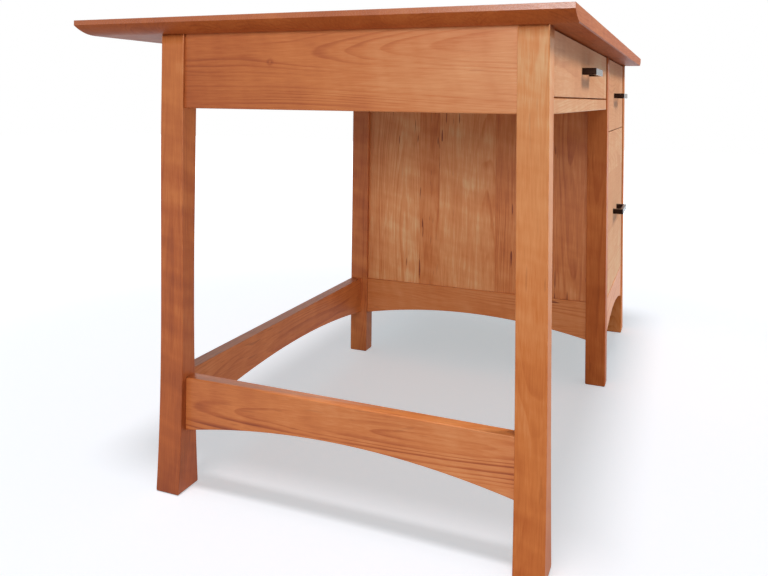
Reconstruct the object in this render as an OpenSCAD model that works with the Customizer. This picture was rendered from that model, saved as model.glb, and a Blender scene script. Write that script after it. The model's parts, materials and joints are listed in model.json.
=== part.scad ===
// Study desk in cherry: a solid top on six legs, a knee space with one wide drawer above it,
// and a pedestal on the right with an upper drawer and a file drawer.
// X runs along the width, the front faces -Y and +Z is up.
// The origin is on the floor, under the middle of the top.

/* [Top] */
// Length of the top
top_l = 1400; // [1200:10:1800]
// Depth of the top, front to back
top_d = 795; // [740:5:900]
// Height of the desk
desk_h = 762; // [720:1:800]
// Thickness of the top
top_t = 22; // [18:1:30]
// Overhang of the top past the legs at each end
end_over = 52; // [20:1:80]
// Overhang of the top past the legs at the front
front_over = 39; // [10:1:60]
// Overhang of the top past the legs at the back
back_over = 136; // [20:1:150]
// Height of the upright strip left along each end of the top
end_strip = 8; // [4:0.5:14]
// Width of the rounded cut under each end of the top
end_bevel = 50; // [30:1:70]
// Chamfer along the lower front and back edges of the top
edge_chamfer = 1.5; // [1:0.5:6]

/* [Legs] */
// Width of a corner leg at the top, along X
leg_w = 38; // [36:1:55]
// Depth of every leg, along Y
leg_d = 43; // [42:1:55]
// Width of a middle leg, along X
mid_leg_w = 38; // [36:1:55]
// How far the outer face of a corner leg curves in, half way up
leg_hollow = 7; // [0:0.5:8]
// How much wider a corner leg is at the floor
foot_flare = 18; // [0:1:24]
// Height at which the flare of a left leg starts
flare_z = 400; // [250:10:550]
// Distance from the left legs' outer face to the middle legs
knee_w = 792; // [650:1:900]

/* [Rails] */
// Height of the aprons
apron_h = 119; // [100:1:140]
// Thickness of the aprons
apron_t = 22; // [18:1:26]
// How far the aprons lie behind the outer faces of the legs
apron_set = 5; // [2:0.5:8]
// Height of the rail under the wide drawer
drawer_rail_h = 22; // [18:1:30]
// Depth of the rail under the wide drawer
drawer_rail_d = 45; // [35:1:70]
// Height of the upper edge of the low rails
low_rail_z = 184; // [150:1:240]
// Height of a low rail at its ends
low_rail_h = 86; // [70:1:110]
// Thickness of the low rails
low_rail_t = 24; // [20:1:26]
// Rise of the arch under the low rails
arch_rise = 28; // [0:1:45]
// How far the left stretcher lies inside the middle of the legs
stretcher_in = 12; // [0:0.5:12]
// How far the back rail lies in front of the legs' back faces
low_rail_set = 3; // [2:0.5:8]

/* [Pedestal] */
// Thickness of the board panels
panel_t = 16; // [14:1:18]
// Depth of the groove that a panel sits in
panel_groove = 8; // [5:0.5:10]
// Thickness of the board that closes the pedestal below
floor_t = 12; // [9:1:15]
// Depth of the grooves that the floor board sits in
floor_groove = 6; // [4:0.5:7]
// Height of the floor board's underside above the lower edge of the low rails
floor_up = 60; // [50:1:64]
// Height of the gap between the two pedestal drawer fronts
drawer_split_z = 568.5; // [500:1:600]
// Thickness of the rail between the two pedestal drawers
divider_t = 20; // [16:1:24]
// Depth of the rail between the two pedestal drawers
divider_d = 60; // [40:1:90]

/* [Drawers] */
// Thickness of the drawer fronts
front_t = 20; // [18:1:24]
// How far the drawer fronts lie behind the front faces of the legs
front_set = 3; // [2:0.5:13]
// Gap round the drawer fronts
front_gap = 2.5; // [1:0.5:3]
// Gap over the drawer fronts, below the top
head_gap = 3; // [2:0.5:5]
// Thickness of the drawer sides and backs
side_t = 13; // [12:0.5:15]
// Thickness of the drawer bottoms
bottom_t = 6; // [4:0.5:7]
// Length of the drawer boxes behind their fronts
box_len = 500; // [400:5:530]
// Depth of the housings that hold the sides in the front
housing = 8; // [5:0.5:10]
// Depth of the grooves for the drawer bottoms, and of the housings for the backs
groove = 5; // [4:0.5:6]
// Height of the drawer bottoms above the lower edge of the sides
bottom_up = 8; // [6:0.5:12]

/* [Runners] */
// Height of the tongue on a wooden runner
tongue_h = 14; // [10:1:18]
// How far the tongue reaches into the drawer side
tongue_in = 5.5; // [4:0.5:6]
// Height of a wooden runner
runner_h = 34; // [28:1:40]
// Thickness of a closed steel slide
slide_t = 12.7; // [12:0.1:14]
// Height of a steel slide
slide_h = 45; // [40:1:50]
// Length of a steel slide
slide_len = 500; // [400:5:520]
// Thickness of the slides' steel
steel_t = 1.4; // [1.2:0.1:1.6]

/* [Pulls] */
// Length of a pull
pull_l = 110; // [90:2:150]
// Height of a pull
pull_h = 12; // [10:0.5:16]
// How far a pull stands out from the drawer front
pull_out = 24; // [18:1:32]
// Height of the file drawer's pull
file_pull_z = 368; // [340:1:430]
// Thickness of the bar of a pull
pull_bar = 7; // [4:0.5:8]
// Width of the two posts of a pull
pull_post = 10; // [8:0.5:14]
// Diameter of the screws that hold a pull
pull_screw_d = 4; // [3:0.5:5]

/* [Fasteners] */
// Diameter of the wood screws
screw_d = 4; // [3:0.5:5]
// Diameter of the heads of the wood screws
screw_head_d = 8; // [7:0.5:9]
// Length of the screws that hold the top
top_screw_l = 32; // [28:1:36]
// Length of a cleat under the top
cleat_l = 60; // [40:5:90]
// Width of a cleat under the top
cleat_w = 15; // [12:0.5:15]
// Height of a cleat under the top
cleat_h = 20; // [16:1:22]

/* [Fits] */
// Clearance round each tenon, tongue and panel in its groove
fit = 0.2; // [0.1:0.05:0.4]
// Clearance beside a drawer on its runners
run_fit = 0.4; // [0.3:0.1:0.6]
// Clearance between the nested members of a steel slide
slide_fit = 0.4; // [0.3:0.1:0.5]

/* [Hidden] */
$fn = 48;

cherry = "#b8703f";
cherry_dark = "#a5603a";
cherry_light = "#cf9765";
maple = "#dcc09a";
plywood = "#d9bd92";
bronze = "#3a2a22";
steel = "#a9abae";

// Places of the legs and of the faces that everything is set from
under_z = desk_h - top_t;
left_x = -top_l / 2 + end_over;
right_x = top_l / 2 - end_over;
front_y = -top_d / 2 + front_over;
back_y = top_d / 2 - back_over;
mid_x = left_x + knee_w;
left_in = left_x + leg_w;
mid_in = mid_x + mid_leg_w;
right_in = right_x - leg_w;
legs_front_in = front_y + leg_d;
legs_back_in = back_y - leg_d;
left_axis = left_x + leg_w / 2;
mid_axis = mid_x + mid_leg_w / 2;
right_axis = right_x - leg_w / 2;
curve_steps = 12;

// Places of the rails
apron_z = under_z - apron_h;
drawer_rail_top = apron_z + drawer_rail_h;
low_z = low_rail_z - low_rail_h;
back_rail_y = back_y - low_rail_set - low_rail_t / 2;
face_y = front_y + front_set;
front_back_y = face_y + front_t;
front_rail_y = face_y + low_rail_t / 2;
left_apron_x = left_x + apron_set + apron_t / 2;
stretcher_x = left_axis + stretcher_in;

// Tenons stop short of the tenon or groove that crosses them in the leg
tenon_wall = 2;
tenon_edge = 10;
tenon_t = 9;
low_tenon_z = low_z + max(tenon_edge, arch_rise + tenon_wall);
side_tip = back_y - back_rail_y + tenon_t / 2 + tenon_wall;
side_tip_front = front_y + side_tip;
side_tip_back = back_y - side_tip;
left_tip = left_x + leg_w / 2 - tenon_t / 2;
mid_left_tip = mid_axis - tenon_t / 2 - tenon_wall;
mid_right_tip = mid_axis + tenon_t / 2 + tenon_wall;
right_tip = right_axis - tenon_t / 2 - tenon_wall;
drawer_rail_tip = left_apron_x + tenon_t / 2 + tenon_wall;
rail_bevel = 4;

// Inner faces of the side panels
left_panel_face = mid_axis + panel_t / 2;
right_panel_face = right_axis - panel_t / 2;

// Drawer fronts as [left, right, lower, upper]
wide_front = [left_in + front_gap, mid_x - front_gap,
              drawer_rail_top + front_gap, under_z - head_gap];
upper_front = [mid_in + front_gap, right_in - front_gap,
               drawer_split_z + front_gap / 2, under_z - head_gap];
file_front = [mid_in + front_gap, right_in - front_gap,
              low_rail_z + front_gap, drawer_split_z - front_gap / 2];

// Drawer boxes as [left, right, lower, upper], and the rail between two of them
side_set = 1;
box_low = 4;
box_head = cleat_h;
divider_gap = 3;
wide_box = [wide_front[0] + side_set, wide_front[1] - side_set,
            wide_front[2] + box_low, wide_front[3] - box_head];
upper_box = [upper_front[0] + side_set, upper_front[1] - side_set,
             upper_front[2] + box_low, upper_front[3] - box_head];
divider_top = upper_box[2] - divider_gap;
divider_z = divider_top - divider_t;
file_box = [mid_in + slide_t, right_in - slide_t,
            file_front[2] + box_low, divider_z - divider_gap];
box_back_y = front_back_y + box_len;
runner_groove = tongue_in + run_fit;

// Runners, slides and their screws
runner_stop = 12;
runner_stop_y = legs_front_in + runner_stop;
wide_runner_z = (wide_box[2] + wide_box[3]) / 2;
upper_runner_z = (upper_box[2] + upper_box[3]) / 2;
slide_z = (file_box[2] + file_box[3]) / 2;
slide_inset = 3;
slide_front_y = front_back_y + slide_inset;
slide_back_y = slide_front_y + slide_len;
block_edge = 8;
slide_head_d = 7;
slide_screw_d = 3.5;
slide_screw_l = 8;
slide_screw_inset = 35;
slide_screw_ys = [slide_front_y + slide_screw_inset, (slide_front_y + slide_back_y) / 2,
                  slide_back_y - slide_screw_inset];
runner_screw_inset = 60;
runner_screw_ys = [legs_front_in + runner_screw_inset, (legs_front_in + legs_back_in) / 2,
                   legs_back_in - runner_screw_inset];
runner_screw_up = (runner_h + tongue_h) / 4;
screw_head_t = 3;
screw_bite = 12;

// Cleats under the top as [x, y, width along X, length along Y]
cleat_inset = 70;
apron_in_x = left_apron_x + apron_t / 2;
back_apron_in_y = back_rail_y - apron_t / 2;
back_panel_in_y = back_rail_y - panel_t / 2;
cleats = [
    for (y = [legs_front_in + cleat_inset, legs_back_in - cleat_inset])
        for (x = [apron_in_x + cleat_w / 2, left_panel_face + cleat_w / 2,
                  right_panel_face - cleat_w / 2])
            [x, y, cleat_w, cleat_l],
    for (x = [left_in + cleat_inset, (left_in + mid_x) / 2, mid_x - cleat_inset])
        [x, back_apron_in_y - cleat_w / 2, cleat_l, cleat_w],
    [(mid_in + right_in) / 2, back_panel_in_y - cleat_w / 2, cleat_l, cleat_w]
];

// Pulls
pull_screw_span = pull_l - pull_post;
pull_screw_bite = 12;
pull_head_d = 8;
pull_head_t = 2.5;

module box(a, b) {
    translate(a)
        cube(b - a);
}

// A box given by its corners, grown all round by the clearance it needs
module grown(a, b, grow) {
    box(a - [grow, grow, grow], b + [grow, grow, grow]);
}

// Legs

// Outer face of a corner leg: hollow below the apron, upright beside it.
// The curve t (1 - t)^2 peaks at 4 / 27, so this factor makes leg_hollow its greatest depth.
hollow_peak = 27 / 4;

function leg_outer(z) =
    z < apron_z ? leg_hollow * hollow_peak * (z / apron_z) * pow(1 - z / apron_z, 2) : 0;

// Inner face of a corner leg: upright down to start, then flared
function leg_inner(z, start) =
    leg_w + (z < start ? foot_flare * pow(1 - z / start, 2) : 0);

module leg_outline(start) {
    outer = [for (i = [0:curve_steps])
        let (z = apron_z * i / curve_steps) [leg_outer(z), z]];
    inner = [for (i = [curve_steps:-1:0])
        let (z = start * i / curve_steps) [leg_inner(z, start), z]];
    polygon(concat(outer, [[0, under_z], [leg_w, under_z]], inner));
}

// A corner leg with its outer face towards -X
module corner_leg(y, start) {
    translate([0, y + leg_d, 0])
        rotate([90, 0, 0])
            linear_extrude(leg_d)
                leg_outline(start);
}

module left_leg_solid(y) {
    translate([left_x, 0, 0])
        corner_leg(y, flare_z);
}

module right_leg_solid(y) {
    translate([right_x, 0, 0])
        mirror([1, 0, 0])
            corner_leg(y, low_rail_z);
}

module middle_leg_solid(y) {
    box([mid_x, y, 0], [mid_in, y + leg_d, under_z]);
}

module front_left_leg() {
    color(cherry_light)
        difference() {
            left_leg_solid(front_y);
            left_apron_core(fit);
            left_stretcher_core(fit);
            drawer_rail_core(fit);
        }
}

module back_left_leg() {
    color(cherry_dark)
        difference() {
            left_leg_solid(legs_back_in);
            left_apron_core(fit);
            left_stretcher_core(fit);
            back_apron_core(fit);
            back_stretcher_core(fit);
        }
}

module front_middle_leg() {
    color(cherry)
        difference() {
            middle_leg_solid(front_y);
            drawer_rail_core(fit);
            side_rail_core(mid_axis, fit);
            front_rail_core(fit);
            side_panel_board(mid_axis, fit);
        }
}

module back_middle_leg() {
    color(cherry_dark)
        difference() {
            middle_leg_solid(legs_back_in);
            back_apron_core(fit);
            back_stretcher_core(fit);
            side_rail_core(mid_axis, fit);
            back_rail_core(fit);
            side_panel_board(mid_axis, fit);
            back_panel_board(fit);
        }
}

module front_right_leg() {
    color(cherry)
        difference() {
            right_leg_solid(front_y);
            side_rail_core(right_axis, fit);
            front_rail_core(fit);
            side_panel_board(right_axis, fit);
        }
}

module back_right_leg() {
    color(cherry)
        difference() {
            right_leg_solid(legs_back_in);
            side_rail_core(right_axis, fit);
            back_rail_core(fit);
            side_panel_board(right_axis, fit);
            back_panel_board(fit);
        }
}

// Rails and aprons: each has a core that runs from tenon tip to tenon tip

module side_core(x, z0, z1, grow) {
    grown([x - tenon_t / 2, side_tip_front, z0], [x + tenon_t / 2, side_tip_back, z1], grow);
}

module cross_core(x0, x1, y, z0, z1, grow) {
    grown([x0, y - tenon_t / 2, z0], [x1, y + tenon_t / 2, z1], grow);
}

module left_apron_core(grow) {
    side_core(left_apron_x, apron_z + tenon_edge, under_z - tenon_edge, grow);
}

module left_stretcher_core(grow) {
    side_core(stretcher_x, low_tenon_z, low_rail_z - tenon_edge, grow);
}

module side_rail_core(x, grow) {
    side_core(x, low_tenon_z, low_rail_z - tenon_edge, grow);
}

module back_apron_core(grow) {
    cross_core(left_tip, mid_left_tip, back_rail_y, apron_z + tenon_edge,
               under_z - tenon_edge, grow);
}

module back_stretcher_core(grow) {
    cross_core(left_tip, mid_left_tip, back_rail_y, low_tenon_z,
               low_rail_z - tenon_edge, grow);
}

module front_rail_core(grow) {
    cross_core(mid_right_tip, right_tip, front_rail_y, low_tenon_z,
               low_rail_z - tenon_edge, grow);
}

module back_rail_core(grow) {
    cross_core(mid_right_tip, right_tip, back_rail_y, low_tenon_z,
               low_rail_z - tenon_edge, grow);
}

module drawer_rail_core(grow) {
    grown([drawer_rail_tip, face_y + rail_bevel, apron_z + rail_bevel],
          [mid_left_tip, legs_front_in - panel_groove - tenon_wall,
           drawer_rail_top - rail_bevel], grow);
}

// Outline of a low rail, from a to b, with a round arch under it
module arched_outline(a, b) {
    span = b - a;
    arch_r = arch_rise > 0 ? (span * span / 4 + arch_rise * arch_rise) / (2 * arch_rise) : 0;
    half = arch_rise > 0 ? asin(span / 2 / arch_r) : 0;
    steps = 2 * curve_steps;
    arch = [for (i = [0:steps])
        let (turn = -half + 2 * half * i / steps)
            [(a + b) / 2 + arch_r * sin(turn), low_z + arch_rise - arch_r * (1 - cos(turn))]];
    polygon(concat(arch_rise > 0 ? arch : [[a, low_z], [b, low_z]],
                   [[b, low_rail_z], [a, low_rail_z]]));
}

module side_arched(x) {
    translate([x - low_rail_t / 2, 0, 0])
        rotate([90, 0, 90])
            linear_extrude(low_rail_t)
                arched_outline(legs_front_in, legs_back_in);
}

module cross_arched(a, b, y) {
    translate([0, y + low_rail_t / 2, 0])
        rotate([90, 0, 0])
            linear_extrude(low_rail_t)
                arched_outline(a, b);
}

module left_apron() {
    color(cherry_light)
        difference() {
            union() {
                box([left_apron_x - apron_t / 2, legs_front_in, apron_z],
                    [left_apron_x + apron_t / 2, legs_back_in, under_z]);
                left_apron_core(0);
            }
            runner_screw_set(apron_in_x, 1, wide_runner_z, fit);
        }
}

module back_apron() {
    color(cherry)
        union() {
            box([left_in, back_rail_y - apron_t / 2, apron_z],
                [mid_x, back_rail_y + apron_t / 2, under_z]);
            back_apron_core(0);
        }
}

module drawer_rail() {
    color(cherry_light)
        union() {
            box([left_in, face_y, apron_z],
                [mid_x, face_y + drawer_rail_d, drawer_rail_top]);
            drawer_rail_core(0);
        }
}

module left_stretcher() {
    color(cherry)
        union() {
            side_arched(stretcher_x);
            left_stretcher_core(0);
        }
}

module back_stretcher() {
    color(cherry_dark)
        union() {
            difference() {
                cross_arched(left_in, mid_x, back_rail_y);
                left_leg_solid(legs_back_in);
            }
            back_stretcher_core(0);
        }
}

module pedestal_left_rail() {
    color(cherry)
        difference() {
            union() {
                side_arched(mid_axis);
                side_rail_core(mid_axis, 0);
            }
            floor_board(fit);
        }
}

module pedestal_right_rail() {
    color(cherry)
        difference() {
            union() {
                side_arched(right_axis);
                side_rail_core(right_axis, 0);
            }
            floor_board(fit);
        }
}

module pedestal_front_rail() {
    color(cherry_light)
        union() {
            difference() {
                cross_arched(mid_in, right_in, front_rail_y);
                right_leg_solid(front_y);
            }
            front_rail_core(0);
        }
}

module pedestal_back_rail() {
    color(cherry)
        union() {
            difference() {
                cross_arched(mid_in, right_in, back_rail_y);
                right_leg_solid(legs_back_in);
            }
            back_rail_core(0);
        }
}

// Pedestal panels, floor and the rail between the drawers

module side_panel_board(x, grow) {
    grown([x - panel_t / 2, legs_front_in - panel_groove, low_rail_z],
          [x + panel_t / 2, legs_back_in + panel_groove, under_z], grow);
}

module back_panel_board(grow) {
    grown([mid_in - panel_groove, back_rail_y - panel_t / 2, low_rail_z],
          [right_in + panel_groove, back_rail_y + panel_t / 2, under_z], grow);
}

module floor_board(grow) {
    grown([mid_axis + low_rail_t / 2 - floor_groove, legs_front_in + fit, low_z + floor_up],
          [right_axis - low_rail_t / 2 + floor_groove, legs_back_in - fit,
           low_z + floor_up + floor_t], grow);
}

module divider_ends(grow) {
    grown([left_panel_face - groove, legs_front_in + fit, divider_z],
          [right_panel_face + groove, front_back_y + divider_d, divider_top], grow);
}

module pedestal_left_panel() {
    color(cherry)
        difference() {
            side_panel_board(mid_axis, 0);
            divider_ends(fit);
            runner_screw_set(left_panel_face, 1, upper_runner_z, fit);
            runner_screw_set(mid_axis - panel_t / 2, -1, wide_runner_z, fit);
        }
}

module pedestal_right_panel() {
    color(cherry)
        difference() {
            side_panel_board(right_axis, 0);
            divider_ends(fit);
            runner_screw_set(right_panel_face, -1, upper_runner_z, fit);
        }
}

module pedestal_back_panel() {
    color(cherry)
        back_panel_board(0);
}

module pedestal_floor() {
    color(plywood)
        floor_board(0);
}

module divider_rail() {
    color(maple)
        union() {
            box([mid_in, front_back_y + fit, divider_z],
                [right_in, legs_front_in + divider_gap, divider_top]);
            divider_ends(0);
        }
}

// The top: an arc under both ends that runs out into the underside, and chamfered long edges

module top_end_outline() {
    cut = top_t - end_strip;
    arc_r = (end_bevel * end_bevel + cut * cut) / (2 * cut);
    steepest = asin(end_bevel / arc_r);
    right = [for (i = [0:curve_steps])
        let (turn = steepest * (1 - i / curve_steps))
            [top_l / 2 - end_bevel + arc_r * sin(turn), under_z + arc_r * (1 - cos(turn))]];
    left = [for (i = [curve_steps:-1:0]) [-right[i][0], right[i][1]]];
    polygon(concat([[top_l / 2, desk_h]], right, left, [[-top_l / 2, desk_h]]));
}

module top_side_outline() {
    half = top_d / 2;
    polygon([[-half, desk_h], [-half, under_z + edge_chamfer],
             [-half + edge_chamfer, under_z], [half - edge_chamfer, under_z],
             [half, under_z + edge_chamfer], [half, desk_h]]);
}

module top() {
    color(cherry)
        difference() {
            intersection() {
                translate([0, top_d / 2, 0])
                    rotate([90, 0, 0])
                        linear_extrude(top_d)
                            top_end_outline();
                translate([-top_l / 2, 0, 0])
                    rotate([90, 0, 90])
                        linear_extrude(top_l)
                            top_side_outline();
            }
            top_screw_set(fit);
        }
}

// Cleats that hold the top, and their screws

module top_screw_set(grow) {
    for (c = cleats)
        translate([c[0], c[1], under_z - cleat_h - grow])
            cylinder(d = screw_d + 2 * grow, h = top_screw_l + 2 * grow);
}

module top_cleats() {
    color(maple)
        difference() {
            for (c = cleats)
                box([c[0] - c[2] / 2, c[1] - c[3] / 2, under_z - cleat_h],
                    [c[0] + c[2] / 2, c[1] + c[3] / 2, under_z]);
            top_screw_set(fit);
        }
}

module top_screws() {
    color(steel)
        for (c = cleats)
            translate([c[0], c[1], under_z - cleat_h])
                union() {
                    cylinder(d = screw_d, h = top_screw_l);
                    translate([0, 0, -screw_head_t])
                        cylinder(d = screw_head_d, h = screw_head_t);
                }
}

// Wooden runners: a body on the case and a tongue in the drawer side

// Runner between a case face at x and a drawer side; way is 1 where the drawer is towards +X
module runner(x, side_x, way, z) {
    body_face = side_x - way * run_fit;
    tip = side_x + way * tongue_in;
    difference() {
        union() {
            box([min(x, body_face), legs_front_in, z - runner_h / 2],
                [max(x, body_face), legs_back_in, z + runner_h / 2]);
            box([min(x, tip), runner_stop_y, z - tongue_h / 2],
                [max(x, tip), legs_back_in, z + tongue_h / 2]);
        }
        runner_screw_heads(x, body_face, way, z, fit);
    }
}

// Screws through a runner's body into the case face at x
module runner_screw_set(x, way, z, grow) {
    for (y = runner_screw_ys)
        translate([x - way * (screw_bite + grow), y, z + runner_screw_up])
            rotate([0, way * 90, 0])
                cylinder(d = screw_d + 2 * grow, h = screw_bite + 2 * grow);
}

module runner_screw_heads(x, body_face, way, z, grow) {
    for (y = runner_screw_ys)
        translate([x - way * grow, y, z + runner_screw_up])
            rotate([0, way * 90, 0])
                union() {
                    cylinder(d = screw_d + 2 * grow, h = abs(body_face - x) + 2 * grow);
                    translate([0, 0, abs(body_face - x) - screw_head_t])
                        cylinder(d = screw_head_d + 2 * grow, h = screw_head_t + 2 * grow);
                }
}

module runner_screw_solids(x, side_x, way, z) {
    body_face = side_x - way * run_fit;
    for (y = runner_screw_ys)
        translate([x - way * screw_bite, y, z + runner_screw_up])
            rotate([0, way * 90, 0])
                union() {
                    cylinder(d = screw_d, h = screw_bite + abs(body_face - x));
                    translate([0, 0, screw_bite + abs(body_face - x) - screw_head_t])
                        cylinder(d = screw_head_d, h = screw_head_t);
                }
}

module wide_drawer_left_runner() {
    color(maple)
        runner(apron_in_x, wide_box[0], 1, wide_runner_z);
}

module wide_drawer_right_runner() {
    color(maple)
        runner(mid_axis - panel_t / 2, wide_box[1], -1, wide_runner_z);
}

module upper_drawer_left_runner() {
    color(maple)
        runner(left_panel_face, upper_box[0], 1, upper_runner_z);
}

module upper_drawer_right_runner() {
    color(maple)
        runner(right_panel_face, upper_box[1], -1, upper_runner_z);
}

module runner_screws() {
    color(steel)
        union() {
            runner_screw_solids(apron_in_x, wide_box[0], 1, wide_runner_z);
            runner_screw_solids(mid_axis - panel_t / 2, wide_box[1], -1, wide_runner_z);
            runner_screw_solids(left_panel_face, upper_box[0], 1, upper_runner_z);
            runner_screw_solids(right_panel_face, upper_box[1], -1, upper_runner_z);
        }
}

// Steel slides of the file drawer, each drawn for the left and mirrored for the right

pedestal_axis = (mid_in + right_in) / 2;

module both_sides() {
    children();
    translate([2 * pedestal_axis, 0, 0])
        mirror([1, 0, 0])
            children();
}

// A channel with its web at x0, opening towards x1, with half its height given
module channel(x0, x1, half) {
    web = x1 > x0 ? steel_t : -steel_t;
    box([min(x0, x0 + web), slide_front_y, slide_z - half],
        [max(x0, x0 + web), slide_back_y, slide_z + half]);
    for (z = [slide_z - half, slide_z + half - steel_t])
        box([min(x0, x1), slide_front_y, z], [max(x0, x1), slide_back_y, z + steel_t]);
}

case_half = slide_h / 2;
middle_half = case_half - steel_t - slide_fit;
drawer_half = middle_half - steel_t - slide_fit;
case_web_in = mid_in + steel_t;
drawer_web_in = file_box[0] - steel_t;
lip_gap = 1.2;

module slide_case_members() {
    color(steel)
        difference() {
            both_sides()
                channel(mid_in, drawer_web_in - lip_gap, case_half);
            slide_case_screw_set(fit / 2);
        }
}

module slide_middle_members() {
    color(steel)
        both_sides()
            channel(case_web_in + lip_gap, drawer_web_in - lip_gap, middle_half);
}

module slide_drawer_members() {
    color(steel)
        difference() {
            both_sides()
                channel(file_box[0], case_web_in + lip_gap + steel_t + lip_gap, drawer_half);
            slide_drawer_screw_set(fit / 2);
        }
}

// A flat-headed screw along +X, its head in the steel that starts at the origin
module slide_screw(grow) {
    translate([-grow, 0, 0])
        rotate([0, 90, 0])
            union() {
                cylinder(d = slide_head_d + 2 * grow, h = steel_t + 2 * grow);
                cylinder(d = slide_screw_d + 2 * grow, h = steel_t + slide_screw_l + 2 * grow);
            }
}

module slide_case_screw_set(grow) {
    both_sides()
        for (y = slide_screw_ys)
            translate([case_web_in, y, slide_z])
                mirror([1, 0, 0])
                    slide_screw(grow);
}

module slide_drawer_screw_set(grow) {
    both_sides()
        for (y = slide_screw_ys)
            translate([drawer_web_in, y, slide_z])
                slide_screw(grow);
}

module slide_case_screws() {
    color(steel)
        slide_case_screw_set(0);
}

module slide_drawer_screws() {
    color(steel)
        slide_drawer_screw_set(0);
}

module left_slide_block() {
    color(maple)
        difference() {
            box([left_panel_face, legs_front_in, slide_z - slide_h / 2 - block_edge],
                [mid_in, legs_back_in, slide_z + slide_h / 2 + block_edge]);
            slide_case_screw_set(fit);
        }
}

module right_slide_block() {
    color(maple)
        difference() {
            box([right_in, legs_front_in, slide_z - slide_h / 2 - block_edge],
                [right_panel_face, legs_back_in, slide_z + slide_h / 2 + block_edge]);
            slide_case_screw_set(fit);
        }
}

// Drawers. A front is given as [left, right, lower, upper], and so is the box behind it.

module drawer_front(front, frame) {
    difference() {
        box([front[0], face_y, front[2]], [front[1], front_back_y, front[3]]);
        drawer_side_board(frame[0], frame, fit);
        drawer_side_board(frame[1] - side_t, frame, fit);
        drawer_bottom_board(frame, fit);
        pull_screw_shanks(front, fit);
    }
}

// A side with its left face at x, let into the front
module drawer_side_board(x, frame, grow) {
    grown([x, front_back_y - housing, frame[2]], [x + side_t, box_back_y, frame[3]], grow);
}

module drawer_bottom_board(frame, grow) {
    grown([frame[0] + side_t - groove, front_back_y - groove, frame[2] + bottom_up],
          [frame[1] - side_t + groove, box_back_y, frame[2] + bottom_up + bottom_t], grow);
}

// The back stands on the bottom and is housed in the sides
module drawer_back_board(frame, grow) {
    inset_back = side_t;
    grown([frame[0] + side_t - groove, box_back_y - inset_back - side_t,
           frame[2] + bottom_up + bottom_t],
          [frame[1] - side_t + groove, box_back_y - inset_back, frame[3]], grow);
}

module drawer_side(x, frame) {
    difference() {
        drawer_side_board(x, frame, 0);
        drawer_bottom_board(frame, fit);
        drawer_back_board(frame, fit);
    }
}

// A side that runs on a wooden tongue; way is 1 where its outer face looks towards -X
module grooved_side(x, frame, way, z) {
    outer = way > 0 ? x : x + side_t;
    inner = outer + way * runner_groove;
    past_end = 5;
    difference() {
        drawer_side(x, frame);
        box([min(outer - way * past_end, inner), runner_stop_y - run_fit,
             z - tongue_h / 2 - run_fit],
            [max(outer - way * past_end, inner), box_back_y + past_end,
             z + tongue_h / 2 + run_fit]);
    }
}

module drawer_back(frame) {
    drawer_back_board(frame, 0);
}

// Pulls: a flat bar on two posts, screwed on from inside the drawer

function pull_x(front) = (front[0] + front[1]) / 2;
function pull_z(front) = front == file_front ? file_pull_z : (front[2] + front[3]) / 2;

module pull(front) {
    color(bronze)
        translate([pull_x(front), face_y, pull_z(front)])
            difference() {
                union() {
                    box([-pull_l / 2, -pull_out, -pull_h / 2],
                        [pull_l / 2, pull_bar - pull_out, pull_h / 2]);
                    for (x = [-pull_l / 2, pull_l / 2 - pull_post])
                        box([x, -pull_out, -pull_h / 2], [x + pull_post, 0, pull_h / 2]);
                }
                for (x = [-1, 1])
                    translate([x * pull_screw_span / 2, -pull_screw_bite - fit, 0])
                        rotate([-90, 0, 0])
                            cylinder(d = pull_screw_d + 2 * fit, h = pull_screw_bite + 2 * fit);
            }
}

module pull_screw_shanks(front, grow) {
    for (x = [-1, 1])
        translate([pull_x(front) + x * pull_screw_span / 2, face_y - pull_screw_bite,
                   pull_z(front)])
            rotate([-90, 0, 0])
                cylinder(d = pull_screw_d + 2 * grow, h = pull_screw_bite + front_t + grow);
}

module pull_screws(front) {
    color(steel)
        union() {
            pull_screw_shanks(front, 0);
            for (x = [-1, 1])
                translate([pull_x(front) + x * pull_screw_span / 2, front_back_y, pull_z(front)])
                    rotate([-90, 0, 0])
                        cylinder(d = pull_head_d, h = pull_head_t);
        }
}

module wide_drawer_front() {
    color(cherry_light)
        drawer_front(wide_front, wide_box);
}

module wide_drawer_left_side() {
    color(maple)
        grooved_side(wide_box[0], wide_box, 1, wide_runner_z);
}

module wide_drawer_right_side() {
    color(maple)
        grooved_side(wide_box[1] - side_t, wide_box, -1, wide_runner_z);
}

module wide_drawer_back() {
    color(maple)
        drawer_back(wide_box);
}

module wide_drawer_bottom() {
    color(plywood)
        drawer_bottom_board(wide_box, 0);
}

module wide_drawer_pull() {
    pull(wide_front);
}

module wide_drawer_pull_screws() {
    pull_screws(wide_front);
}

module upper_drawer_front() {
    color(cherry_light)
        drawer_front(upper_front, upper_box);
}

module upper_drawer_left_side() {
    color(maple)
        grooved_side(upper_box[0], upper_box, 1, upper_runner_z);
}

module upper_drawer_right_side() {
    color(maple)
        grooved_side(upper_box[1] - side_t, upper_box, -1, upper_runner_z);
}

module upper_drawer_back() {
    color(maple)
        drawer_back(upper_box);
}

module upper_drawer_bottom() {
    color(plywood)
        drawer_bottom_board(upper_box, 0);
}

module upper_drawer_pull() {
    pull(upper_front);
}

module upper_drawer_pull_screws() {
    pull_screws(upper_front);
}

module file_drawer_front() {
    color(cherry_light)
        drawer_front(file_front, file_box);
}

module file_drawer_left_side() {
    color(maple)
        difference() {
            drawer_side(file_box[0], file_box);
            slide_drawer_screw_set(fit);
        }
}

module file_drawer_right_side() {
    color(maple)
        difference() {
            drawer_side(file_box[1] - side_t, file_box);
            slide_drawer_screw_set(fit);
        }
}

module file_drawer_back() {
    color(maple)
        drawer_back(file_box);
}

module file_drawer_bottom() {
    color(plywood)
        drawer_bottom_board(file_box, 0);
}

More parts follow.
